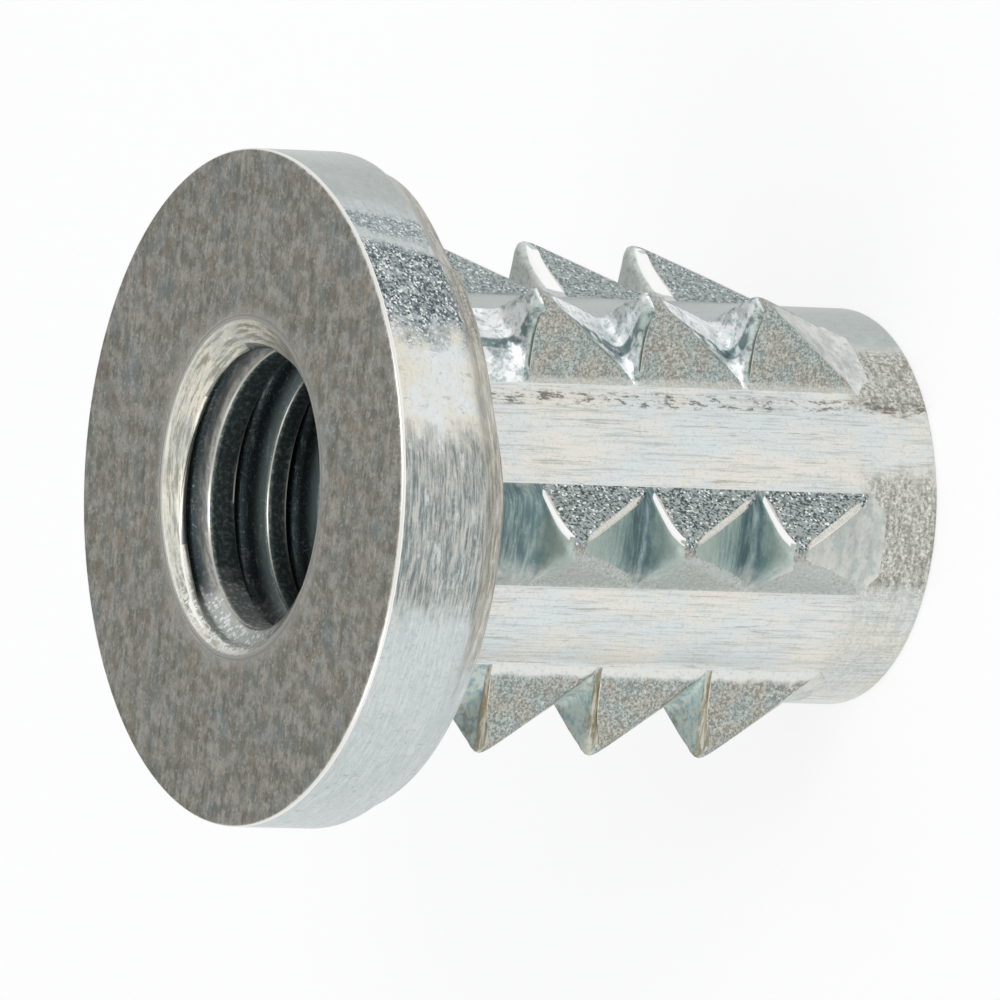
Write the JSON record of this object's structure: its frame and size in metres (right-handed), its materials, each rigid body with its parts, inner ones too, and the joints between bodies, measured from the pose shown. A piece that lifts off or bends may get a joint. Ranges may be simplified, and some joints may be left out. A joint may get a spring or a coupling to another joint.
{
  "type": "barbed threaded insert nut",
  "caption": "Press-in threaded insert nut: a round flange on a bored core with rows of saw-tooth barbs, internally threaded.",
  "frame": {"origin": "centre of the tail end, on the axis, at the base plane z = 0", "axes": "+Z along the axis from the tail end towards the flange face; one row of barbs is on +X"},
  "size_m": [0.016, 0.016, 0.0163],
  "materials": {
    "plated_steel": "clear zinc plating over turned and cold-headed steel"
  },
  "bodies": {
    "root": {"insert": "plated_steel"}
  },
  "joints": []
}
